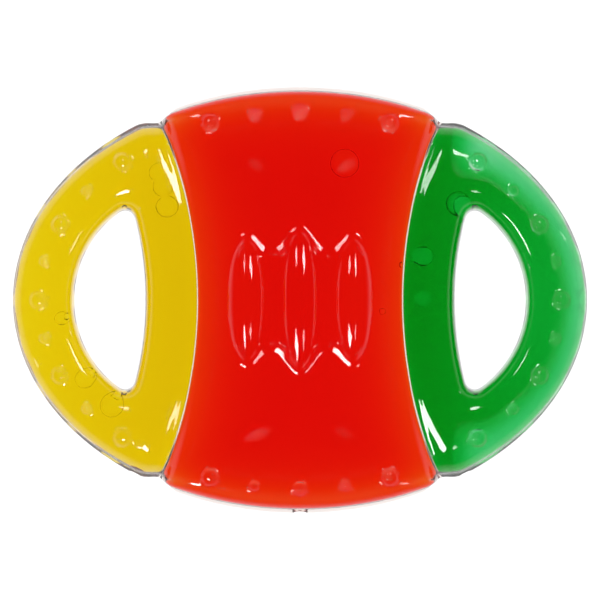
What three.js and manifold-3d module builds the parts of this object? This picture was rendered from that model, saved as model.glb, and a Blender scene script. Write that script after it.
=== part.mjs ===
// Water teether with two finger loops. A flat oval of clear soft plastic is moulded as a front and a back
// half, which are welded together at the middle plane. Inside are three separate chambers of coloured
// water: a yellow loop, a red middle and a green loop. Thin webs join the chambers, and a plug in a short
// neck closes each one. Bite bumps follow the rim on both faces, and the front carries a raised wavy pad
// with three ridges.
// Millimetres, +Z up. The teether lies on the flat patch of its back at z = 0 with its centre on the Z
// axis, the yellow loop towards -X and the plugs towards -Y.

import * as THREE from "three";
import { ParametricGeometry } from "three/addons/geometries/ParametricGeometry.js";
import { mergeVertices } from "three/addons/utils/BufferGeometryUtils.js";
import Module from "manifold-3d";

// The oval
const LENGTH = 116; // along X, over both loops
const WIDTH = 86.4; // along Y
const MIDDLE_HALF = 9.6; // half the thickness of the middle chamber at its crest
const LOOP_HALF_SIDE = 8.4; // half the thickness of a loop at its inner side
const LOOP_HALF_TIP = 5.4;
const WELD_Z = 9.2; // height of the weld; it is less than MIDDLE_HALF, so the back has a flat patch

// The wall and the water
const WALL = 1.6;
const GAP = 0.3; // between the water and the wall

// The sides where the chambers face each other: arcs with their centres on the X axis
const MIDDLE_WAIST = 19.7; // half the length of the middle chamber on the X axis
const MIDDLE_SIDE_RADIUS = 95;
const MIDDLE_CORNER_RADIUS = 2.6;
const LOOP_SIDE = 20.9; // from the centre to the inner side of a loop on the X axis
const LOOP_SIDE_RADIUS = 88;
const LOOP_CORNER_RADIUS = 2;
const LEAST_CORNER_RADIUS = 0.5;

// The finger opening of a loop: a nearly straight inner side, a round outer side and round ends
const OPENING_NEAR = 31.3; // from the centre to the opening's inner side on the X axis
const OPENING_FAR = 45.9;
const OPENING_FAR_RADIUS = 22;
const OPENING_END_RADIUS = 3;

// Cross-sections are superellipses: 2 is an ellipse, and more is squarer
const MIDDLE_SQUARENESS = 5;
const LOOP_SQUARENESS = 3;
const SPINE_HALF = 18; // the crest of the middle chamber is a line along Y of this half length

// The webs between the chambers
const WEB_HALF = 1.4; // half the thickness
const WEB_BITE = 0.9; // how far a web reaches into the wall of a chamber
const WEB_END = 35.9; // half the width of a web along Y
const WEB_END_DIP = 1.2; // how far the end's curve is pulled in

// The bite bumps stand on an ellipse inside the rim
const BUMP_INSET = 5.3;
const BUMP_RADIUS = { large: 1.85, medium: 1.5, small: 1.05 };
const BUMP_RISE = 0.6; // height over radius
const LOOP_BUMP_STEP = THREE.MathUtils.degToRad(11.8);
const LOOP_BUMPS = ["large", "small", "large", "small", "large"]; // from the tip of a loop to either side
const MIDDLE_BUMP_STEP = THREE.MathUtils.degToRad(10);
const MIDDLE_BUMPS = ["medium", "small", "large"]; // from the middle to either side

// The pad on the front: peaks over the ridges, valleys between them
const PAD_RISE = 0.7;
const PAD_MARGIN = 0.4; // around the ridges
const PAD_VALLEY = { x: 5.8, y: 10.1 };
const PAD_SHOULDER = 0.7; // where the pad's ends turn in, over a side ridge's half length
const RIDGE_RISE = 1.5;
const SIDE_RIDGE = { x: 10.9, halfLength: 13.2, halfWidth: 3.8 };
const MIDDLE_RIDGE = { x: 0, halfLength: 15.1, halfWidth: 3.5 };

// The filling necks and their plugs
const PLUG_RADIUS = 1.5;
const PLUG_RECESS = 0.25; // from the outer end of a plug to the rim
const PLUG_LENGTH = 2.5;
const NECK_WALL = 0.8;
const NECK_START = 0.8; // from the rim to the outer end of a neck, which lies in the wall
const NECK_DEPTH = 3; // from the rim to the inner end
const LOOP_NECK_ANGLE = THREE.MathUtils.degToRad(35.3); // on the ellipse of the rim, from -Y

// Facets: along a quarter of an outline, and round a whole section
const SIDE_STEPS = 4;
const CORNER_STEPS = 2;
const RIM_STEPS = 6;
const SECTION_STEPS = 12;

const CLEAR_PLASTIC = new THREE.MeshStandardMaterial({ color: 0xf3e6df, roughness: 0.18, metalness: 0 });
const PLUG_PLASTIC = new THREE.MeshStandardMaterial({ color: 0xeadcd4, roughness: 0.3, metalness: 0 });
const YELLOW_WATER = new THREE.MeshStandardMaterial({ color: 0xe4d000, roughness: 0.05, metalness: 0 });
const RED_WATER = new THREE.MeshStandardMaterial({ color: 0xe60000, roughness: 0.05, metalness: 0 });
const GREEN_WATER = new THREE.MeshStandardMaterial({ color: 0x009b2d, roughness: 0.05, metalness: 0 });

const wasm = await Module();
wasm.setup();

// ---- Solids ----

function solidOf(geometry) {
  const bare = new THREE.BufferGeometry();
  bare.setAttribute("position", geometry.getAttribute("position"));
  bare.setIndex(geometry.index);
  const merged = mergeVertices(bare, 1e-4);
  const corners = merged.index.array;
  const triangles = [];
  for (let i = 0; i < corners.length; i += 3) {
    const [a, b, c] = corners.slice(i, i + 3);
    if (a !== b && b !== c && c !== a) triangles.push(a, b, c);
  }
  const mesh = new wasm.Mesh({
    numProp: 3,
    vertProperties: merged.attributes.position.array,
    triVerts: new Uint32Array(triangles),
  });
  return new wasm.Manifold(mesh);
}

function geometryOf(solid) {
  const { vertProperties, triVerts } = solid.getMesh();
  const geometry = new THREE.BufferGeometry();
  geometry.setAttribute("position", new THREE.BufferAttribute(vertProperties, 3));
  geometry.setIndex(new THREE.BufferAttribute(triVerts, 1));
  return geometry;
}

function meshOf(name, solid, material) {
  const geometry = geometryOf(solid);
  geometry.computeVertexNormals();
  const mesh = new THREE.Mesh(geometry, material);
  mesh.name = name;
  return mesh;
}

function joined(solids) {
  return solids.reduce((all, solid) => all.add(solid));
}

// A box over the whole oval, from one height to another
function slab(low, high) {
  const box = new THREE.BoxGeometry(2 * LENGTH, 2 * WIDTH, high - low);
  return solidOf(box.translate(0, 0, (low + high) / 2));
}

// Half a turn about Z carries what is on the -X side to the +X side
function turned(solid) {
  return solidOf(geometryOf(solid).rotateZ(Math.PI));
}

// ---- Outlines, anticlockwise from above ----

// A corner between the rim and a side arc centred at sideX on the X axis. Its centre is on the ellipse
// of the rim less the corner's radius, between two of that ellipse's angles, at the given distance from
// the centre of the side arc.
function cornerBetween(a, b, radius, sideX, distance, from, to) {
  const centreAt = (t) => new THREE.Vector2((a - radius) * Math.cos(t), (b - radius) * Math.sin(t));
  const excess = (t) => centreAt(t).distanceTo(new THREE.Vector2(sideX, 0)) - distance;
  const sign = Math.sign(excess(from));
  for (let i = 0; i < 40; i++) {
    const middle = (from + to) / 2;
    if (Math.sign(excess(middle)) === sign) from = middle;
    else to = middle;
  }
  return { ...centreAt(from), angle: from };
}

// The points of a path of arcs, with the given number of steps along each arc
function pointsAlong(path, steps) {
  const arcs = path.curves.filter((curve) => curve instanceof THREE.EllipseCurve);
  return arcs.flatMap((arc, i) => arc.getPoints(steps[i]).slice(0, -1));
}

// The loop on the -X side, from the middle of its inner side
function loopOutline(inset) {
  const a = LENGTH / 2 - inset;
  const b = WIDTH / 2 - inset;
  const sideX = -LOOP_SIDE - LOOP_SIDE_RADIUS;
  const sideRadius = LOOP_SIDE_RADIUS - inset;
  const radius = Math.max(LOOP_CORNER_RADIUS - inset, LEAST_CORNER_RADIUS);
  const corner = cornerBetween(a, b, radius, sideX, sideRadius - radius, Math.PI / 2, Math.PI);
  const start = Math.atan2(corner.y, corner.x - sideX);
  const path = new THREE.Path();
  path.absarc(sideX, 0, sideRadius, 0, start, false);
  path.absarc(corner.x, corner.y, radius, start, corner.angle, false);
  path.absellipse(0, 0, a, b, corner.angle, 2 * Math.PI - corner.angle, false);
  path.absarc(corner.x, -corner.y, radius, -corner.angle, -start, false);
  path.absarc(sideX, 0, sideRadius, -start, 0, false);
  return pointsAlong(path, [SIDE_STEPS, CORNER_STEPS, 2 * RIM_STEPS, CORNER_STEPS, SIDE_STEPS]);
}

// The finger opening of the same loop, moved out by inset, with a point for each of the loop's
function openingOutline(inset) {
  const nearX = -LOOP_SIDE - LOOP_SIDE_RADIUS;
  const nearRadius = -OPENING_NEAR - nearX;
  const farX = OPENING_FAR_RADIUS - OPENING_FAR;
  const apart = farX - nearX;
  const fromNear = nearRadius - OPENING_END_RADIUS;
  const fromFar = OPENING_FAR_RADIUS - OPENING_END_RADIUS;
  const x = nearX + (apart ** 2 + fromNear ** 2 - fromFar ** 2) / (2 * apart);
  const y = Math.sqrt(fromNear ** 2 - (x - nearX) ** 2);
  const start = Math.atan2(y, x - nearX);
  const end = Math.atan2(y, x - farX);
  const path = new THREE.Path();
  path.absarc(nearX, 0, nearRadius + inset, 0, start, false);
  path.absarc(x, y, OPENING_END_RADIUS + inset, start, end, false);
  path.absarc(farX, 0, OPENING_FAR_RADIUS + inset, end, 2 * Math.PI - end, false);
  path.absarc(x, -y, OPENING_END_RADIUS + inset, -end, -start, false);
  path.absarc(nearX, 0, nearRadius + inset, -start, 0, false);
  return pointsAlong(path, [SIDE_STEPS, CORNER_STEPS, 2 * RIM_STEPS, CORNER_STEPS, SIDE_STEPS]);
}

// The middle chamber: a quarter from the waist on the +X side to the top, mirrored about both axes
function middleOutline(inset) {
  const a = LENGTH / 2 - inset;
  const b = WIDTH / 2 - inset;
  const sideX = MIDDLE_WAIST + MIDDLE_SIDE_RADIUS;
  const sideRadius = MIDDLE_SIDE_RADIUS + inset;
  const radius = Math.max(MIDDLE_CORNER_RADIUS - inset, LEAST_CORNER_RADIUS);
  const corner = cornerBetween(a, b, radius, sideX, sideRadius + radius, 0, Math.PI / 2);
  const end = Math.atan2(corner.y, corner.x - sideX);
  const path = new THREE.Path();
  path.absarc(sideX, 0, sideRadius, Math.PI, end, true);
  path.absarc(corner.x, corner.y, radius, end - Math.PI, corner.angle, false);
  path.absellipse(0, 0, a, b, corner.angle, Math.PI / 2, false);
  const right = pointsAlong(path, [SIDE_STEPS, CORNER_STEPS, RIM_STEPS]);
  const left = right.slice(1).map(({ x, y }) => new THREE.Vector2(-x, y));
  const half = [...right, new THREE.Vector2(0, b), ...left.reverse()];
  return [...half, ...half.map(({ x, y }) => new THREE.Vector2(-x, -y))];
}

// ---- Skins of the chambers ----

function signedPower(value, exponent) {
  return Math.sign(value) * Math.abs(value) ** exponent;
}

// A closed skin: each point of the outline has a root, and the section sweeps round the root from one
// angle to another. Angle 0 is the rim, and a quarter turn is straight above the root, where halfAt gives
// half the thickness.
function skin(outline, roots, halfAt, squareness, from, to) {
  const place = (u, v, target) => {
    const i = Math.round(u * outline.length) % outline.length;
    const angle = from + v * (to - from);
    const out = signedPower(Math.cos(angle), 2 / squareness);
    const up = signedPower(Math.sin(angle), 2 / squareness);
    const { x, y } = roots[i].clone().lerp(outline[i], out);
    target.set(x, y, WELD_Z + halfAt(x) * up);
  };
  const steps = Math.round((SECTION_STEPS * (to - from)) / (2 * Math.PI));
  return solidOf(new ParametricGeometry(place, outline.length, steps));
}

// Half the thickness of a loop, which becomes thinner towards its tip
function loopHalf(x) {
  const along = (Math.abs(x) - LOOP_SIDE) / (LENGTH / 2 - LOOP_SIDE);
  return THREE.MathUtils.lerp(LOOP_HALF_SIDE, LOOP_HALF_TIP, along);
}

// The loop on the -X side: sections go right round, between the rim and the opening
function loopSkin(inset) {
  const rim = loopOutline(inset);
  const opening = openingOutline(inset);
  const roots = rim.map((point, i) => point.clone().lerp(opening[i], 0.5));
  return skin(rim, roots, (x) => loopHalf(x) - inset, LOOP_SQUARENESS, 0, 2 * Math.PI);
}

// The middle chamber: sections go from the crest behind, over the rim, to the crest in front
function middleSkin(inset) {
  const rim = middleOutline(inset);
  const spine = SPINE_HALF / (WIDTH / 2 - inset);
  const roots = rim.map(({ y }) => new THREE.Vector2(0, spine * y));
  return skin(rim, roots, () => MIDDLE_HALF - inset, MIDDLE_SQUARENESS, -Math.PI / 2, Math.PI / 2);
}

// Height of the middle chamber above the weld, where out is 0 at the crest and 1 at the rim
function middleHeight(out) {
  return MIDDLE_HALF * (1 - out ** MIDDLE_SQUARENESS) ** (1 / MIDDLE_SQUARENESS);
}

// ---- Webs, bumps, pad and necks ----

// Points up a side arc on the -X side, between the two ends of a web
function sideArc(waist, radius) {
  const reach = Math.asin(WEB_END / radius);
  const arc = new THREE.EllipseCurve(-waist - radius, 0, radius, radius, -reach, reach);
  return arc.getPoints(2 * SIDE_STEPS);
}

function webEnd(from, to, y) {
  return new THREE.QuadraticBezierCurve(from, new THREE.Vector2((from.x + to.x) / 2, y), to).getPoints(4);
}

function web() {
  const loopSide = sideArc(LOOP_SIDE + WEB_BITE, LOOP_SIDE_RADIUS).reverse();
  const middleSide = sideArc(MIDDLE_WAIST - WEB_BITE, MIDDLE_SIDE_RADIUS);
  const dip = WEB_END - WEB_END_DIP;
  const top = webEnd(middleSide.at(-1), loopSide[0], dip).slice(1, -1);
  const bottom = webEnd(loopSide.at(-1), middleSide[0], -dip).slice(1, -1);
  const shape = new THREE.Shape([...middleSide, ...top, ...loopSide, ...bottom]);
  const plate = new THREE.ExtrudeGeometry(shape, { depth: 2 * WEB_HALF, bevelEnabled: false });
  return solidOf(plate.translate(0, 0, WELD_Z - WEB_HALF));
}

// A bump on each face at the same place
function bumpPair(x, y, height, radius) {
  return [-1, 1].map((face) => {
    const ball = new THREE.SphereGeometry(radius, 8, 4).rotateX(Math.PI / 2);
    return solidOf(ball.scale(1, 1, BUMP_RISE).translate(x, y, WELD_Z + face * height));
  });
}

function bumps() {
  const a = LENGTH / 2 - BUMP_INSET;
  const b = WIDTH / 2 - BUMP_INSET;
  const height = middleHeight(1 - BUMP_INSET / (WIDTH / 2 - SPINE_HALF));
  const all = [];
  for (const side of [-1, 1]) {
    for (let k = 1 - LOOP_BUMPS.length; k < LOOP_BUMPS.length; k++) {
      const angle = k * LOOP_BUMP_STEP;
      const x = a * Math.cos(angle);
      const radius = BUMP_RADIUS[LOOP_BUMPS[Math.abs(k)]];
      all.push(...bumpPair(side * x, b * Math.sin(angle), loopHalf(x), radius));
    }
    for (let k = 1 - MIDDLE_BUMPS.length; k < MIDDLE_BUMPS.length; k++) {
      const angle = k * MIDDLE_BUMP_STEP;
      const radius = BUMP_RADIUS[MIDDLE_BUMPS[Math.abs(k)]];
      all.push(...bumpPair(a * Math.sin(angle), side * b * Math.cos(angle), height, radius));
    }
  }
  return all;
}

// The wavy pad follows the face of the middle chamber
function pad() {
  const end = SIDE_RIDGE.x + SIDE_RIDGE.halfWidth + PAD_MARGIN;
  const shoulder = { x: (SIDE_RIDGE.x + end) / 2 + PAD_MARGIN, y: SIDE_RIDGE.halfLength * PAD_SHOULDER };
  const right = [
    [0, MIDDLE_RIDGE.halfLength + PAD_MARGIN],
    [PAD_VALLEY.x, PAD_VALLEY.y],
    [SIDE_RIDGE.x, SIDE_RIDGE.halfLength + PAD_MARGIN],
    [shoulder.x, shoulder.y],
    [end, 0],
  ];
  const below = right.slice(0, -1).map(([x, y]) => [x, -y]).reverse();
  const left = [...right.slice(1), ...below.slice(0, -1)].map(([x, y]) => [-x, y]).reverse();
  const loop = [...right, ...below, ...left].map(([x, y]) => new THREE.Vector3(x, y, 0));
  const outline = new THREE.CatmullRomCurve3(loop, true).getPoints(2 * loop.length);
  const shape = new THREE.Shape(outline.slice(0, -1).map(({ x, y }) => new THREE.Vector2(x, y)));
  const column = new THREE.ExtrudeGeometry(shape, { depth: 2 * MIDDLE_HALF, bevelEnabled: false });
  return solidOf(column.translate(0, 0, WELD_Z + MIDDLE_HALF / 2)).intersect(middleSkin(-PAD_RISE));
}

function ridges() {
  const places = [MIDDLE_RIDGE, SIDE_RIDGE, { ...SIDE_RIDGE, x: -SIDE_RIDGE.x }];
  return places.map(({ x, halfLength, halfWidth }) => {
    const ball = new THREE.SphereGeometry(1, 10, 8).rotateX(Math.PI / 2);
    const height = middleHeight(Math.abs(x) / MIDDLE_WAIST);
    return solidOf(ball.scale(halfWidth, halfLength, RIDGE_RISE).translate(x, 0, WELD_Z + height));
  });
}

// A cylinder through the rim, between two depths from it, at an angle of the rim's ellipse from -Y
function throughRim(radius, from, to, angle) {
  const x = (LENGTH / 2) * Math.sin(angle);
  const y = (-WIDTH / 2) * Math.cos(angle);
  const outwards = Math.atan2(x / LENGTH ** 2, -y / WIDTH ** 2);
  const cylinder = new THREE.CylinderGeometry(radius, radius, to - from, 12);
  return solidOf(
    cylinder.translate(0, (from + to) / 2, 0).rotateZ(outwards).translate(x, y, WELD_Z),
  );
}

// ---- The teether ----

const NECK_ANGLES = { yellow: -LOOP_NECK_ANGLE, red: 0, green: LOOP_NECK_ANGLE };
const BORE_RADIUS = PLUG_RADIUS + GAP;
const NECK_RADIUS = BORE_RADIUS + NECK_WALL;
const ABOVE = 3 * MIDDLE_HALF; // higher than anything

function shell() {
  const necks = Object.values(NECK_ANGLES);
  const outside = joined([
    ...[loopSkin(0), turned(loopSkin(0)), middleSkin(0)],
    ...[web(), turned(web())],
    ...bumps(),
    ...[pad(), ...ridges()],
  ]);
  const hollows = joined([loopSkin(WALL), turned(loopSkin(WALL)), middleSkin(WALL)]);
  const neckWalls = joined(necks.map((angle) => throughRim(NECK_RADIUS, NECK_START, NECK_DEPTH, angle)));
  const bores = joined(necks.map((angle) => throughRim(BORE_RADIUS, -WALL, NECK_DEPTH + WALL, angle)));
  return outside.subtract(hollows).add(neckWalls).subtract(bores);
}

function water(chamber, angle) {
  return chamber.subtract(throughRim(NECK_RADIUS + GAP, -WALL, NECK_DEPTH + GAP, angle));
}

function plug(angle) {
  return throughRim(PLUG_RADIUS, PLUG_RECESS, PLUG_RECESS + PLUG_LENGTH, angle);
}

const shells = shell();
const loopWater = loopSkin(WALL + GAP);
const teether = new THREE.Group();
teether.add(
  meshOf("front_shell", shells.intersect(slab(WELD_Z, ABOVE)), CLEAR_PLASTIC),
  meshOf("back_shell", shells.intersect(slab(0, WELD_Z)), CLEAR_PLASTIC),
  meshOf("yellow_water", water(loopWater, NECK_ANGLES.yellow), YELLOW_WATER),
  meshOf("red_water", water(middleSkin(WALL + GAP), NECK_ANGLES.red), RED_WATER),
  meshOf("green_water", water(turned(loopWater), NECK_ANGLES.green), GREEN_WATER),
  meshOf("yellow_fill_plug", plug(NECK_ANGLES.yellow), PLUG_PLASTIC),
  meshOf("red_fill_plug", plug(NECK_ANGLES.red), PLUG_PLASTIC),
  meshOf("green_fill_plug", plug(NECK_ANGLES.green), PLUG_PLASTIC),
);

export default teether;
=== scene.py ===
"""Looks for the water teether: its clear shell, the three coloured waters and the filling plugs.

Every piece is the zero surface of a field: a function of a point that is negative inside the piece and,
near the surface, is close to the distance from it. Soft minima and maxima join and cut fields, which
gives each junction its fillet. A field is sampled on a grid, OpenVDB turns the grid into quads, and the
vertices are then moved onto the exact surface.

Fields are in millimetres with z from the weld between the shell's halves. The pieces are in metres in
the frame's axes: the yellow loop towards -X, the plugs towards -Y, the raised pad towards +Z.
"""

import math
from typing import NamedTuple

import bpy
import numpy as np
import openvdb
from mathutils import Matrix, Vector


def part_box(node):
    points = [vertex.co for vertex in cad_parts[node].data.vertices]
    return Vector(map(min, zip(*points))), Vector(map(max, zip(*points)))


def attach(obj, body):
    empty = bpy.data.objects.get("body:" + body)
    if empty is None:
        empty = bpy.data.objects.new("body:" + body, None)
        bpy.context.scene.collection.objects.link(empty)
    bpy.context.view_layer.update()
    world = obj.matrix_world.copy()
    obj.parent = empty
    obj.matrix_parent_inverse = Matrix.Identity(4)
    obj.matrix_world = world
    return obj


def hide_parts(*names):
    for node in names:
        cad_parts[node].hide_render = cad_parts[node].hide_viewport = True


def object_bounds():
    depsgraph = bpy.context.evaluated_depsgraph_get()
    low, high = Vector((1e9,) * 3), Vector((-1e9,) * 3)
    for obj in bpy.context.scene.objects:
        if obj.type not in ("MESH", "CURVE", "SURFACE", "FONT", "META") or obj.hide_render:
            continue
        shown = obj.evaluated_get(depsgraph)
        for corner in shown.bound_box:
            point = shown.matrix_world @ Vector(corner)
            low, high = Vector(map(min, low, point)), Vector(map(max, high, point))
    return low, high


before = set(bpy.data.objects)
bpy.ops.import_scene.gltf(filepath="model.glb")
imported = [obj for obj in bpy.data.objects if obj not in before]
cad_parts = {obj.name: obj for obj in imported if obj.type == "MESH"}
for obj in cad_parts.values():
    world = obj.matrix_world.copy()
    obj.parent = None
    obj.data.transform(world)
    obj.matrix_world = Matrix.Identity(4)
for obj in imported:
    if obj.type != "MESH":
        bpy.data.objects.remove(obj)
CAD_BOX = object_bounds()

MM = 0.001
LENGTH = (CAD_BOX[1].x - CAD_BOX[0].x) / MM
WIDTH = (CAD_BOX[1].y - CAD_BOX[0].y) / MM
HALF_LENGTH = LENGTH / 2
HALF_WIDTH = WIDTH / 2
WELD_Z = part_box("front_shell")[0].z / MM
BACK = -WELD_Z
FRONT = CAD_BOX[1].z / MM - WELD_Z
LOW = (-HALF_LENGTH, -HALF_WIDTH, BACK)
HIGH = (HALF_LENGTH, HALF_WIDTH, FRONT)

# ---- Sizes, in millimetres ----

MIDDLE_HALF = 9.6  # half the thickness of the middle chamber at its crest
LOOP_HALF_SIDE = 8.4  # half the thickness of a loop at its inner side
LOOP_HALF_TIP = 5.4
TOUCH = 0.05  # how far water reaches into the wall, so that no air shows between them
WELD_LAP = 0.02  # how far the shell's halves reach into each other

# The sides where the chambers face each other are arcs with their centres on the X axis
MIDDLE_WAIST = 20.05
MIDDLE_SIDE_RADIUS = 96.0
MIDDLE_CORNER_RADIUS = 3.4
LOOP_SIDE = 20.2
LOOP_SIDE_RADIUS = 90.0
LOOP_CORNER_RADIUS = 5.6
LOOP_CENTRE = LOOP_SIDE + LOOP_SIDE_RADIUS
MIDDLE_CENTRE = MIDDLE_WAIST + MIDDLE_SIDE_RADIUS

# A finger opening lies between an arc near the middle chamber and one far from it
OPENING_NEAR = 31.3  # on the X axis
OPENING_NEAR_RADIUS = 67.6
OPENING_NEAR_CENTRE = OPENING_NEAR + OPENING_NEAR_RADIUS
OPENING_FAR = 45.9
OPENING_FAR_RADIUS = 22.0
OPENING_FAR_CENTRE = OPENING_FAR - OPENING_FAR_RADIUS
OPENING_END_RADIUS = 3.0

MIDDLE_REACH = 21.0  # about half the width of the middle chamber, to turn shares of it into millimetres
LEAST_SPAN = 1.0  # across a loop, so that no division fails outside the loops, where its sides meet


class Skin(NamedTuple):
    """How far a skin lies inside the outside of the shell, and how it is rounded.

    Sections are superellipses: a power of 2 gives an ellipse, and more is squarer.
    """

    tip: float = 0.0  # inset from the rim at the tips of the loops
    top: float = 0.0  # inset from the rim at the top and bottom
    side: float = 0.0  # from the sides where the chambers face each other
    opening: float = 0.0
    face: float = 0.0  # from the front and back
    corner: float = LOOP_CORNER_RADIUS  # of the loops, seen from above
    hip: float = 2.0  # softness of the edges that run up from the middle chamber's corners
    fall: float = 9.0  # from the top or bottom rim to where the middle chamber's crest becomes level
    middle_power: float = 8.0
    rim_power: float = 3.6  # of the loops, towards the rim
    opening_power: float = 4.0


OUTSIDE = Skin(tip=0.1, top=1.0)
HOLLOW = Skin(
    tip=1.1,
    top=2.1,
    side=0.2,
    opening=0.7,
    face=1.4,
    corner=5.0,
    hip=3.0,
    fall=22.0,
    middle_power=2.4,
    rim_power=3.2,
    opening_power=3.8,
)

# The plate between the halves: a rim round the chambers and the webs between them
PLATE_HALF = 1.8
PLATE_EDGE = 1.5  # radius of its edge
WEB_FILL = 3.4  # twice the widest gap that a web closes
BACK_EDGE = 0.3  # round the flat patch of the back
FILLET = 1.2  # between the chambers and the plate
SEAM_FILLET = 4.0  # between the chambers

# Bite bumps stand on an ellipse inside the rim
BUMP_INSET = 5.3
BUMPS_X = HALF_LENGTH - BUMP_INSET
BUMPS_Y = HALF_WIDTH - BUMP_INSET
BUMP_RISE = 0.6
BACK_BUMP_RISE = 0.3
LARGE, MEDIUM, SMALL = 1.75, 1.4, 1.0
LOOP_BUMP_STEP = math.radians(11.8)
LOOP_BUMPS = (LARGE, SMALL, LARGE, SMALL, LARGE)  # from the tip of a loop to either side
MIDDLE_BUMP_STEP = math.radians(10)
MIDDLE_BUMPS = (MEDIUM, SMALL, LARGE)  # from the middle to either side
BUMP_FILLET = 0.2
BACK_BUMP_FILLET = 0.8

# The wavy pad on the front, with a bevel and a small step round it
PAD_HALF = 10.9  # from the centre to the outermost peaks
PAD_MEAN = 13.0  # height of the wave's middle line
PAD_FALL = 1.5  # how much lower that line is at the outermost peaks
PAD_WAVE = 2.2
PAD_END = 3.6  # beyond PAD_HALF, where the pad runs out under a ridge
BEVEL_RISE = 0.24
BEVEL_WIDTH = 1.3
STEP_RISE = 0.3
STEP_WIDTH = 0.5

# Its ridges: place across, half length, half width
RIDGES = ((0.0, 13.8, 3.3), (-10.9, 12.3, 3.6), (10.9, 12.3, 3.6))
RIDGE_RISE = 1.4
RIDGE_EDGE = 0.01  # softness of a ridge's foot
LEAST_TAPER = 1e-3  # keeps a ridge from having no width at its ends

# Air in the water: place, radius and shape of the bubbles, which lie under the front wall
FLAT, ROUND = 0.4, 0.65  # height of a bubble over its width
BUBBLE_ROOM = 0.4  # between a bubble and the wall
YELLOW_BUBBLES = (
    (-28.5, 25.7, 1.9, FLAT),
    (-27.6, 22.8, 2.0, FLAT),
    (-26.8, 18.8, 2.2, FLAT),
    (-48.2, -3.7, 1.4, FLAT),
    (-43.4, -15.9, 2.0, FLAT),
    (-37.9, -21.3, 2.4, FLAT),
    (-40.3, -29.3, 0.9, ROUND),
)
RED_BUBBLES = (
    (20.0, 38.6, 1.0, ROUND),
    (9.0, 27.5, 2.9, FLAT),
    (16.3, -2.3, 0.7, ROUND),
    (19.4, 7.2, 0.7, ROUND),
)
GREEN_BUBBLES = (
    (24.8, 8.8, 2.1, ROUND),
    (24.7, 0.3, 1.7, ROUND),
    (31.9, 19.4, 2.6, ROUND),
)

# The shallow air pocket under the front of the green loop
POCKET_FROM_OPENING = 5.2
POCKET_START = 30.0  # on the X axis
POCKET_BEND = 6.0
POCKET_EDGE = 1.6
POCKET_WATER = 2.0  # the water left behind the pocket, on the X axis
POCKET_TILT = 0.035  # how fast it becomes less towards +Y, where the air gathers
POCKET_SLOPE = 6.0
POCKET_LIP = 0.3  # share of its depth that it gains at its lip, past LIP_START along Y
LIP_SLOPE = 1.2
LIP_START = 12.0

# Filling necks and plugs
PLUG_RADIUS = 1.5
NECK_RADIUS = 2.6
NECK_DEPTH = 3.0
PLUG_RECESS = 0.25
PLUG_LENGTH = 2.5
NECK_EDGE = 0.2
NECK_TURN = math.radians(35.3)
NECK_ANGLES = {"yellow": -NECK_TURN, "red": 0.0, "green": NECK_TURN}
PLUG_ROOM = 4.0  # from a plug's place on the rim to the end of its grid
PLUG_ROOM_Z = 2.0

FINE = 0.42  # size of the quads
COARSE = 0.6  # and of those of the hollows, which have no small shapes
SHARP = math.radians(50)  # edges that stay sharp where pieces are cut
EDGE_ROOM = 1.6  # between a piece and the end of its grid
SETTLING_STEPS = 3
PROBE = 0.02  # step for measuring how fast a field rises
LEAST_SLOPE = 0.1  # squared, so that a vertex stays close where a field is nearly level
TINY = 1e-6  # keeps a division from failing
SLIGHT = 1e-4  # does the same for superellipses

# The boxes that cut the halves apart, in metres: each is larger than the shell
CUT_REACH = 0.1  # from the weld
CUT_LENGTH = 0.3


# ---- Fields ----


def soft_min(a, b, softness):
    close = np.maximum(softness - np.abs(a - b), 0) / softness
    return np.minimum(a, b) - close * close * softness / 4


def soft_max(a, b, softness):
    return -soft_min(-a, -b, softness)


def round_max(a, b, radius):
    """Where two fields cross, the common part has a round edge."""
    outside = np.hypot(np.maximum(a + radius, 0), np.maximum(b + radius, 0))
    return np.minimum(np.maximum(a, b), -radius) + outside


def ellipse(x, y, a, b):
    size = np.hypot(x / a, y / b) + TINY
    slope = np.hypot(x / a**2, y / b**2) + TINY
    return size * (size - 1) / slope


def smooth_step(value):
    share = np.clip(value, 0, 1)
    return share * share * (3 - 2 * share)


def disc(x, y, radius):
    return np.hypot(x, y) - radius


def section(across, across_half, up, up_half, power):
    """A superellipse. across is 1 at its end, across_half millimetres out, and up is in millimetres."""
    a = np.abs(across)
    b = np.abs(up) / up_half
    size = (a**power + b**power) ** (1 / power) + SLIGHT
    slope = np.hypot((a / size) ** (power - 1) / across_half, (b / size) ** (power - 1) / up_half)
    return (size - 1) / (slope + SLIGHT)


def rim(x, y, skin):
    return ellipse(x, y, HALF_LENGTH - skin.tip, HALF_WIDTH - skin.top)


def loop_side(x, y, inset):
    return disc(np.abs(x) - LOOP_CENTRE, y, LOOP_SIDE_RADIUS - inset)


def middle_side(x, y):
    return MIDDLE_SIDE_RADIUS - np.hypot(np.abs(x) - MIDDLE_CENTRE, y)


def opening(x, y, inset):
    near = disc(np.abs(x) - OPENING_NEAR_CENTRE, y, OPENING_NEAR_RADIUS + inset)
    far = disc(np.abs(x) - OPENING_FAR_CENTRE, y, OPENING_FAR_RADIUS + inset)
    return round_max(near, far, OPENING_END_RADIUS + inset)


def loop_section(x, y, skin):
    """Where a point is across a loop, from -1 at the opening to 1 at the rim, and the section there.

    The section's power changes in the middle half of the way across.
    """
    edge = round_max(rim(x, y, skin), loop_side(x, y, skin.side), skin.corner)
    hole = opening(x, y, skin.opening)
    span = np.maximum(hole - edge, LEAST_SPAN)
    across = (hole + edge) / span
    power = skin.opening_power + (skin.rim_power - skin.opening_power) * smooth_step(across + 0.5)
    along = (np.abs(x) - LOOP_SIDE) / (HALF_LENGTH - LOOP_SIDE)
    half = LOOP_HALF_SIDE + (LOOP_HALF_TIP - LOOP_HALF_SIDE) * np.clip(along, 0, 1) - skin.face
    return across, span / 2, half, power


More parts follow.
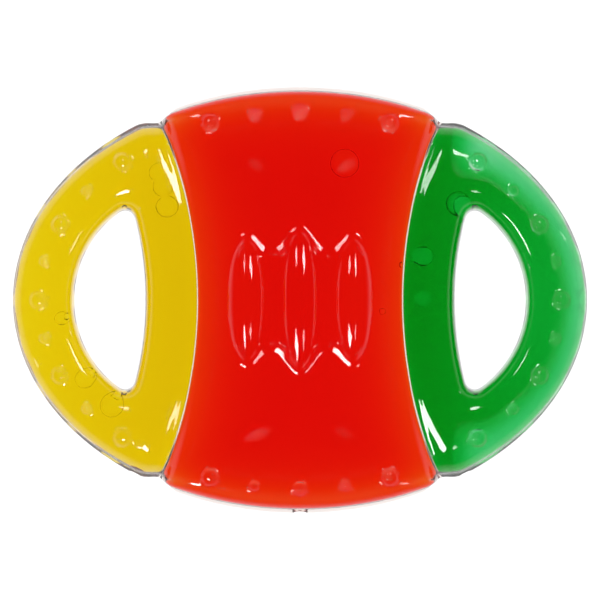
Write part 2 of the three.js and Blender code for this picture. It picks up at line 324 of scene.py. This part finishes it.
def loop_chamber(x, y, z, skin):
    """Both loops. They become thinner towards their tips."""
    across, across_half, half, power = loop_section(x, y, skin)
    return section(across, across_half, z, half, power)


def loop_height(x, y, skin):
    across, _, half, power = loop_section(x, y, skin)
    return half * np.maximum(1 - np.abs(across) ** power, 0) ** (1 / power)


def middle_section(x, y, skin):
    """How far a point is from the centre of the middle chamber, as a share of the way to its edge."""
    side_radius = MIDDLE_SIDE_RADIUS + skin.side
    waist = MIDDLE_CENTRE - np.sqrt(side_radius**2 - y * y)
    across = np.abs(x) / waist
    along = np.maximum(1 + rim(x, y, skin) / skin.fall, 0)
    return soft_max(across, along, skin.hip / MIDDLE_REACH)


def middle_chamber(x, y, z, skin):
    out = middle_section(x, y, skin)
    return section(out, MIDDLE_REACH, z, MIDDLE_HALF - skin.face, skin.middle_power)


def middle_height(x, y, skin):
    out = middle_section(x, y, skin)
    share = np.maximum(1 - np.abs(out) ** skin.middle_power, 0)
    return (MIDDLE_HALF - skin.face) * share ** (1 / skin.middle_power)


def plate(x, y, z):
    """The thin plate at the weld, which shows round the chambers and as webs between them."""
    edge = ellipse(x, y, HALF_LENGTH, HALF_WIDTH)
    loops = round_max(edge, loop_side(x, y, 0), LOOP_CORNER_RADIUS)
    middle = round_max(edge, middle_side(x, y), MIDDLE_CORNER_RADIUS)
    outline = soft_min(loops, middle, WEB_FILL)
    outline = np.maximum(outline, -opening(x, y, HOLLOW.opening / 2))
    return round_max(outline, np.abs(z) - PLATE_HALF, PLATE_EDGE)


def bump_field(x, y, z, body, centre_x, centre_y, radius):
    """A flat-topped dome round the nearest centre, in terms of the height over the body."""
    apart = np.hypot(x - centre_x, y - centre_y)
    rise = np.where(z > 0, BUMP_RISE, BACK_BUMP_RISE)
    return (np.cbrt(apart**3 + np.abs(body / rise) ** 3) - radius) * rise


def with_bumps(body, bumps, z):
    return soft_min(body, bumps, np.where(z > 0, BUMP_FILLET, BACK_BUMP_FILLET))


def nearest_bump(angle, step, radii):
    """The angle of the nearest bump on the bumps' ellipse, and its radius."""
    most = len(radii) - 1
    count = np.clip(np.round(angle / step), -most, most)
    return count * step, np.array(radii)[np.abs(count).astype(int)]


def loop_bumps(x, y, z, body):
    angle = np.arctan2(y / BUMPS_Y, np.abs(x) / BUMPS_X)
    angle, radius = nearest_bump(angle, LOOP_BUMP_STEP, LOOP_BUMPS)
    return bump_field(np.abs(x), y, z, body, BUMPS_X * np.cos(angle), BUMPS_Y * np.sin(angle), radius)


def middle_bumps(x, y, z, body):
    angle = np.arctan2(x / BUMPS_X, np.abs(y) / BUMPS_Y)
    angle, radius = nearest_bump(angle, MIDDLE_BUMP_STEP, MIDDLE_BUMPS)
    return bump_field(x, np.abs(y), z, body, BUMPS_X * np.sin(angle), BUMPS_Y * np.cos(angle), radius)


def pad_height(x, y):
    """How far the pad and its ridges stand out of the middle chamber."""
    turns = 2 * math.pi / PAD_HALF
    wave = PAD_MEAN - PAD_FALL * (x / PAD_HALF) ** 2 + PAD_WAVE * np.cos(turns * x)
    steepness = np.hypot(1, PAD_WAVE * turns * np.sin(turns * x))
    outline = (np.abs(y) - wave) / steepness
    bevel = BEVEL_RISE * np.clip(-outline / BEVEL_WIDTH, 0, 1)
    step = STEP_RISE * smooth_step((-outline - BEVEL_WIDTH) / STEP_WIDTH)
    pad = (bevel + step) * (1 - smooth_step((np.abs(x) - PAD_HALF) / PAD_END))
    ridges = 0
    for place, half_length, half_width in RIDGES:
        taper = np.maximum(1 - (y / half_length) ** 2, LEAST_TAPER)
        crown = np.maximum(1 - ((x - place) / half_width) ** 2 / taper, 0)
        ridges = ridges + taper * (np.sqrt(crown + RIDGE_EDGE) - math.sqrt(RIDGE_EDGE))
    return pad + RIDGE_RISE * ridges


def neck_foot(angle):
    """Where a neck meets the rim, at an angle of the rim's ellipse from -Y."""
    return HALF_LENGTH * math.sin(angle), -HALF_WIDTH * math.cos(angle)


def along_neck(x, y, z, angle):
    """Depth from the rim and distance from the axis of the neck at an angle."""
    foot_x, foot_y = neck_foot(angle)
    inward = Vector((-foot_x / LENGTH**2, -foot_y / WIDTH**2)).normalized()
    depth = (x - foot_x) * inward.x + (y - foot_y) * inward.y
    aside = (x - foot_x) * inward.y - (y - foot_y) * inward.x
    return depth, np.hypot(aside, z)


def neck(x, y, z, angle, radius, start, end, edge):
    depth, aside = along_neck(x, y, z, angle)
    return round_max(np.maximum(start - depth, depth - end), aside - radius, edge)


def outside(x, y, z):
    """The shell as one solid, without its hollows."""
    loops = loop_chamber(x, y, z, OUTSIDE)
    loops = with_bumps(loops, loop_bumps(x, y, z, loops), z)
    middle = middle_chamber(x, y, z, OUTSIDE)
    middle = with_bumps(middle, middle_bumps(x, y, z, middle), z)
    middle = middle - pad_height(x, y) * (z > 0)
    body = soft_min(soft_min(loops, middle, SEAM_FILLET), plate(x, y, z), FILLET)
    return soft_max(body, -(z + WELD_Z), BACK_EDGE)


def hollows(x, y, z):
    """The three chambers, with the walls of the filling necks in them and the bores of the necks."""
    space = np.minimum(loop_chamber(x, y, z, HOLLOW), middle_chamber(x, y, z, HOLLOW))
    for angle in NECK_ANGLES.values():
        space = np.maximum(space, -neck(x, y, z, angle, NECK_RADIUS, -NECK_DEPTH, NECK_DEPTH, NECK_EDGE))
        bore = neck(x, y, z, angle, PLUG_RADIUS, -NECK_DEPTH, NECK_DEPTH + NECK_EDGE, NECK_EDGE)
        space = np.minimum(space, bore)
    return space


def filled(x, y, z, space, height, bubbles, angle):
    """Water in a hollow, round the neck at an angle of the rim and with bubbles under the front wall."""
    stem = neck(x, y, z, angle, NECK_RADIUS - TOUCH, -NECK_DEPTH, NECK_DEPTH, NECK_EDGE)
    water = np.maximum(space - TOUCH, -stem)
    for place_x, place_y, radius, flatness in bubbles:
        level = height(place_x, place_y, HOLLOW) - BUBBLE_ROOM - flatness * radius
        apart = np.hypot(x - place_x, y - place_y)
        bubble = (np.hypot(apart, (z - level) / flatness) - radius) * flatness
        water = np.maximum(water, -bubble)
    return water


def red_water(x, y, z):
    space = middle_chamber(x, y, z, HOLLOW)
    return filled(x, y, z, space, middle_height, RED_BUBBLES, NECK_ANGLES["red"])


def yellow_water(x, y, z):
    space = np.maximum(loop_chamber(x, y, z, HOLLOW), x)
    return filled(x, y, z, space, loop_height, YELLOW_BUBBLES, NECK_ANGLES["yellow"])


def green_water(x, y, z):
    space = np.maximum(loop_chamber(x, y, z, HOLLOW), -x)
    water = filled(x, y, z, space, loop_height, GREEN_BUBBLES, NECK_ANGLES["green"])
    from_opening = POCKET_FROM_OPENING - opening(x, y, 0)
    edge = soft_max(from_opening, POCKET_START - x, POCKET_BEND)
    lip = POCKET_LIP * smooth_step((np.abs(y) - LIP_START) / LIP_START) * smooth_step(-edge / LIP_SLOPE)
    share = lip + (1 - lip) * smooth_step(-edge / POCKET_SLOPE)
    height = loop_height(x, y, HOLLOW)
    left = POCKET_WATER - POCKET_TILT * y
    level = height - np.maximum(2 * height - left, 0) * share
    return soft_max(water, z - level, POCKET_EDGE)


def plug(angle):
    """A field for the plug at an angle of the rim."""
    end = PLUG_RECESS + PLUG_LENGTH
    return lambda x, y, z: neck(x, y, z, angle, PLUG_RADIUS + TOUCH, PLUG_RECESS, end, NECK_EDGE)


# ---- From fields to pieces ----


def settled(points, field, voxel):
    """Moves points near a field's zero surface onto it."""
    for _ in range(SETTLING_STEPS):
        x, y, z = points.T
        value = field(x, y, z)
        rise_x = field(x + PROBE, y, z) - value
        rise_y = field(x, y + PROBE, z) - value
        rise_z = field(x, y, z + PROBE) - value
        slope = np.stack([rise_x, rise_y, rise_z], axis=1) / PROBE
        step = value / np.maximum((slope**2).sum(axis=1), LEAST_SLOPE)
        points = points - np.clip(step, -voxel / 2, voxel / 2)[:, None] * slope
    return points


def sampled(field, low, high, voxel):
    """The vertices and quads of a field's zero surface between two corners."""
    axes = [np.arange(start, end + voxel, voxel) for start, end in zip(low, high)]
    x, y, z = np.meshgrid(*axes, indexing="ij", sparse=True)
    grid = openvdb.FloatGrid(1.0)
    grid.copyFromArray(np.ascontiguousarray(field(x, y, z), dtype=np.float32))
    points, quads = grid.convertToQuads()
    points = points * voxel + np.array(low)
    return settled(points, field, voxel), quads


def piece_of(name, field, low, high, voxel, material):
    """An object in the frame's axes, in metres, for the part of a field between two corners."""
    low = [value - EDGE_ROOM for value in low]
    high = [value + EDGE_ROOM for value in high]
    points, quads = sampled(field, low, high, voxel)
    points = (points + np.array([0, 0, WELD_Z])) * MM
    mesh = bpy.data.meshes.new(name)
    mesh.from_pydata(points, [], quads)
    mesh.shade_smooth()
    mesh.materials.append(material)
    piece = bpy.data.objects.new(name, mesh)
    bpy.context.scene.collection.objects.link(piece)
    return piece


def combine(piece, operation, tool):
    """Cuts a piece with a tool, or keeps what is in both, and removes the tool."""
    modifier = piece.modifiers.new("cut", "BOOLEAN")
    modifier.operation = operation
    modifier.solver = "MANIFOLD"
    modifier.material_mode = "TRANSFER"
    modifier.object = tool
    bpy.context.view_layer.update()
    evaluated = piece.evaluated_get(bpy.context.evaluated_depsgraph_get())
    mesh = bpy.data.meshes.new_from_object(evaluated)
    piece.modifiers.clear()
    mesh.set_sharp_from_angle(angle=SHARP)
    bpy.data.objects.remove(tool)
    piece.data = mesh


def between(piece, low_z, high_z):
    """Keeps what is between two heights, with a flat face where it is cut."""
    bpy.ops.mesh.primitive_cube_add(size=1, location=(0, 0, (low_z + high_z) / 2))
    box = bpy.context.object
    box.scale = (CUT_LENGTH, CUT_LENGTH, high_z - low_z)
    combine(piece, "INTERSECT", box)


def finished(piece, node):
    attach(piece, "root")
    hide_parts(node)


# ---- Materials ----

PLASTIC_IOR = 1.49
WETTED_IOR = 1.001
WATER_IOR = 1.12  # in proportion to the plastic that it touches

# Two tints that a material drifts between, and the size of the drift's patches in millimetres
PLASTIC_TINTS = ((0.97, 0.95, 0.94), (0.99, 0.975, 0.965))
PLUG_TINTS = ((0.93, 0.88, 0.86), (0.97, 0.93, 0.91))
YELLOW_TINTS = ((0.98, 0.97, 0.9), (1, 1, 0.95))
RED_TINTS = ((1, 0.93, 0.92), (1, 0.98, 0.97))
GREEN_TINTS = ((0.93, 0.98, 0.95), (0.97, 1, 0.98))
PLASTIC_PATCH = 14
WATER_PATCH = 18

# The plastic's surface: from where it is smoothest to where it is roughest, and its faint ripples
CLEAR_ROUGHNESS = (0.0, 0.06)
PLUG_ROUGHNESS = (0.1, 0.25)
ROUGHNESS_PATCH = 5
ROUGHNESS_DETAIL = 5.0
RIPPLE_PATCH = 4
RIPPLE_DETAIL = 2.0
RIPPLE_STRENGTH = 0.15
RIPPLE_HEIGHT = 0.1 * MM

# Colour and density of what absorbs light inside a material
PLASTIC_DEPTH = ((0.94, 0.86, 0.82), 60)
YELLOW_DEPTH = ((0.978, 0.95, 0.0), 700)
RED_DEPTH = ((0.985, 0.57, 0.0), 860)
GREEN_DEPTH = ((0.0, 0.87, 0.45), 700)


def noise_of(tree, place, size, detail=3.0):
    """Noise whose grain is of the given size in millimetres."""
    noise = tree.nodes.new("ShaderNodeTexNoise")
    noise.inputs["Scale"].default_value = 1 / (size * MM)
    noise.inputs["Detail"].default_value = detail
    tree.links.new(place, noise.inputs["Vector"])
    return noise.outputs["Fac"]


def ranged(tree, value, low, high):
    ramp = tree.nodes.new("ShaderNodeMapRange")
    ramp.inputs["To Min"].default_value = low
    ramp.inputs["To Max"].default_value = high
    tree.links.new(value, ramp.inputs["Value"])
    return ramp.outputs["Result"]


def tinted(tree, value, low, high):
    mix = tree.nodes.new("ShaderNodeMix")
    mix.data_type = "RGBA"
    mix.inputs["A"].default_value = (*low, 1)
    mix.inputs["B"].default_value = (*high, 1)
    tree.links.new(value, mix.inputs["Factor"])
    return mix.outputs["Result"]


def absorbing(tree, colour, density):
    volume = tree.nodes.new("ShaderNodeVolumeAbsorption")
    volume.inputs["Color"].default_value = (*colour, 1)
    volume.inputs["Density"].default_value = density
    tree.links.new(volume.outputs["Volume"], tree.nodes["Material Output"].inputs["Volume"])


def see_through(name, ior, tints, patch, depth):
    """A transparent material, with its Principled shader and the texture coordinates."""
    material = bpy.data.materials.new(name)
    material.use_nodes = True
    tree = material.node_tree
    shader = tree.nodes["Principled BSDF"]
    place = tree.nodes.new("ShaderNodeTexCoord").outputs["Object"]
    shader.inputs["Transmission Weight"].default_value = 1
    shader.inputs["IOR"].default_value = ior
    tint = tinted(tree, noise_of(tree, place, patch), *tints)
    tree.links.new(tint, shader.inputs["Base Color"])
    absorbing(tree, *depth)
    return material, shader, place


def clear_plastic(name, tints, roughnesses):
    """Soft clear plastic: faintly tinted, with a slightly uneven, handled surface."""
    material, shader, place = see_through(name, PLASTIC_IOR, tints, PLASTIC_PATCH, PLASTIC_DEPTH)
    tree = material.node_tree
    handled = noise_of(tree, place, ROUGHNESS_PATCH, ROUGHNESS_DETAIL)
    tree.links.new(ranged(tree, handled, *roughnesses), shader.inputs["Roughness"])
    bump = tree.nodes.new("ShaderNodeBump")
    bump.inputs["Strength"].default_value = RIPPLE_STRENGTH
    bump.inputs["Distance"].default_value = RIPPLE_HEIGHT
    ripples = noise_of(tree, place, RIPPLE_PATCH, RIPPLE_DETAIL)
    tree.links.new(ripples, bump.inputs["Height"])
    tree.links.new(bump.outputs["Normal"], shader.inputs["Normal"])
    return material


def wetted_plastic():
    """The inside of the wall, which bends no light, because there the water's own surface does that."""
    tints, depth = PLASTIC_TINTS, PLASTIC_DEPTH
    material, shader, _ = see_through("wetted_plastic", WETTED_IOR, tints, PLASTIC_PATCH, depth)
    shader.inputs["Roughness"].default_value = 0
    return material


def water(name, tints, depth):
    """Coloured water: its colour comes from how far the light travels in it."""
    material, shader, _ = see_through(name, WATER_IOR, tints, WATER_PATCH, depth)
    shader.inputs["Roughness"].default_value = 0
    return material


# ---- Stage, light and camera, in metres ----

FLOOR_SIZE = 6
FLOOR_GAP = 0.05 * MM  # below the teether, so that the two don't share a plane
FLOOR_GREY = (0.5, 0.5, 0.5, 1)
FLOOR_GLOW = 1.05
WHITE = (1, 1, 1, 1)

# The sky fades between two heights of its unit sphere
SKY_FADE_START = 0.15
SKY_FADE_END = 0.5
SKY_PALE = 1.0
SKY_DIM = 0.05

LIGHT_DISTANCE = 0.7
CAMERA_DISTANCE = 0.9
SENSOR_WIDTH = 36  # millimetres, as Blender takes it
FRAME_WIDTH = 121.7 * MM  # what the camera sees across
NEAREST_SEEN = 0.01
FARTHEST_SEEN = 20
LIGHT_BOUNCES = 32  # enough to get through all walls and waters


def stage():
    """A plain white floor that also glows a little, so that the light comes through the teether."""
    bpy.ops.mesh.primitive_plane_add(size=FLOOR_SIZE, location=(0, 0, -FLOOR_GAP))
    floor = bpy.context.object
    floor.name = "floor"
    material = bpy.data.materials.new("floor")
    material.use_nodes = True
    shader = material.node_tree.nodes["Principled BSDF"]
    shader.inputs["Base Color"].default_value = FLOOR_GREY
    shader.inputs["Roughness"].default_value = 1
    shader.inputs["Specular IOR Level"].default_value = 0
    shader.inputs["Emission Color"].default_value = WHITE
    shader.inputs["Emission Strength"].default_value = FLOOR_GLOW
    floor.data.materials.append(material)


def sky():
    """Pale at the horizon and dim overhead, as in a white studio with a dark ceiling."""
    world = bpy.data.worlds.new("studio")
    bpy.context.scene.world = world
    world.use_nodes = True
    tree = world.node_tree
    place = tree.nodes.new("ShaderNodeTexCoord")
    split = tree.nodes.new("ShaderNodeSeparateXYZ")
    tree.links.new(place.outputs["Generated"], split.inputs["Vector"])
    fade = tree.nodes.new("ShaderNodeMapRange")
    fade.interpolation_type = "SMOOTHSTEP"
    fade.inputs["From Min"].default_value = SKY_FADE_START
    fade.inputs["From Max"].default_value = SKY_FADE_END
    fade.inputs["To Min"].default_value = SKY_PALE
    fade.inputs["To Max"].default_value = SKY_DIM
    tree.links.new(split.outputs["Z"], fade.inputs["Value"])
    tree.links.new(fade.outputs["Result"], tree.nodes["Background"].inputs["Strength"])
    tree.nodes["Background"].inputs["Color"].default_value = WHITE


def softbox(name, azimuth, tilt, size, radiance):
    """A rectangular light that faces the teether.

    Its azimuth is in degrees from +X and its tilt in degrees from overhead. Its radiance is in watts per
    square metre and steradian.
    """
    light = bpy.data.lights.new(name, "AREA")
    light.shape = "RECTANGLE"
    light.size, light.size_y = size
    light.energy = radiance * math.pi * size[0] * size[1]
    lamp = bpy.data.objects.new(name, light)
    azimuth, tilt = math.radians(azimuth), math.radians(tilt)
    aside = math.sin(tilt)
    outward = Vector((aside * math.cos(azimuth), aside * math.sin(azimuth), math.cos(tilt)))
    lamp.location = outward * LIGHT_DISTANCE
    lamp.rotation_mode = "QUATERNION"
    lamp.rotation_quaternion = outward.to_track_quat("Z", "Y")
    bpy.context.scene.collection.objects.link(lamp)


def camera():
    """Straight above, as far away as a long lens needs."""
    data = bpy.data.cameras.new("camera")
    data.sensor_width = SENSOR_WIDTH
    data.lens = SENSOR_WIDTH * CAMERA_DISTANCE / FRAME_WIDTH
    data.clip_start = NEAREST_SEEN
    data.clip_end = FARTHEST_SEEN
    eye = bpy.data.objects.new("camera", data)
    eye.location = (0, 0, WELD_Z * MM + CAMERA_DISTANCE)
    bpy.context.scene.collection.objects.link(eye)
    bpy.context.scene.camera = eye


# ---- The teether ----


def build_shell(plastic, wetted):
    """Both halves of the shell, made as one hollow body and cut apart at the weld."""
    front = piece_of("front_half", outside, LOW, HIGH, FINE, plastic)
    combine(front, "DIFFERENCE", piece_of("hollows", hollows, LOW, HIGH, COARSE, wetted))
    back = front.copy()
    back.name = "back_half"
    bpy.context.scene.collection.objects.link(back)
    weld = WELD_Z * MM
    lap = WELD_LAP * MM
    between(front, weld - lap / 2, weld + CUT_REACH)
    between(back, weld - CUT_REACH, weld + lap / 2)
    finished(front, "front_shell")
    finished(back, "back_shell")


def build_yellow_water(material):
    high = (-LOOP_SIDE, HALF_WIDTH, -BACK)
    liquid = piece_of("yellow_liquid", yellow_water, LOW, high, FINE, material)
    finished(liquid, "yellow_water")


def build_red_water(material):
    low = (-HALF_LENGTH / 2, -HALF_WIDTH, BACK)
    high = (HALF_LENGTH / 2, HALF_WIDTH, -BACK)
    liquid = piece_of("red_liquid", red_water, low, high, FINE, material)
    finished(liquid, "red_water")


def build_green_water(material):
    low = (LOOP_SIDE, -HALF_WIDTH, BACK)
    liquid = piece_of("green_liquid", green_water, low, HIGH, FINE, material)
    finished(liquid, "green_water")


def build_plugs(material):
    for colour, angle in NECK_ANGLES.items():
        x, y = neck_foot(angle)
        low = (x - PLUG_ROOM, y - PLUG_ROOM, -PLUG_ROOM_Z)
        high = (x + PLUG_ROOM, y + PLUG_ROOM, PLUG_ROOM_Z)
        stopper = piece_of(f"{colour}_plug", plug(angle), low, high, FINE, material)
        finished(stopper, f"{colour}_fill_plug")


build_shell(clear_plastic("clear_plastic", PLASTIC_TINTS, CLEAR_ROUGHNESS), wetted_plastic())
build_yellow_water(water("yellow_water", YELLOW_TINTS, YELLOW_DEPTH))
build_red_water(water("red_water", RED_TINTS, RED_DEPTH))
build_green_water(water("green_water", GREEN_TINTS, GREEN_DEPTH))
build_plugs(clear_plastic("plug_plastic", PLUG_TINTS, PLUG_ROUGHNESS))

stage()
sky()
softbox("softbox_lower_left", 235, 18, (0.12, 0.08), 25)
softbox("softbox_upper_right", 48, 18, (0.1, 0.07), 18)
softbox("softbox_upper_left", 128, 18, (0.07, 0.07), 12)
softbox("softbox_lower_right", 312, 17, (0.06, 0.06), 10)
softbox("strip_right", 20, 60, (0.03, 0.12), 5)
softbox("strip_left", 200, 60, (0.03, 0.12), 4)
camera()

cycles = bpy.context.scene.cycles
cycles.max_bounces = LIGHT_BOUNCES
cycles.transmission_bounces = LIGHT_BOUNCES
bpy.context.scene.view_settings.view_transform = "Standard"
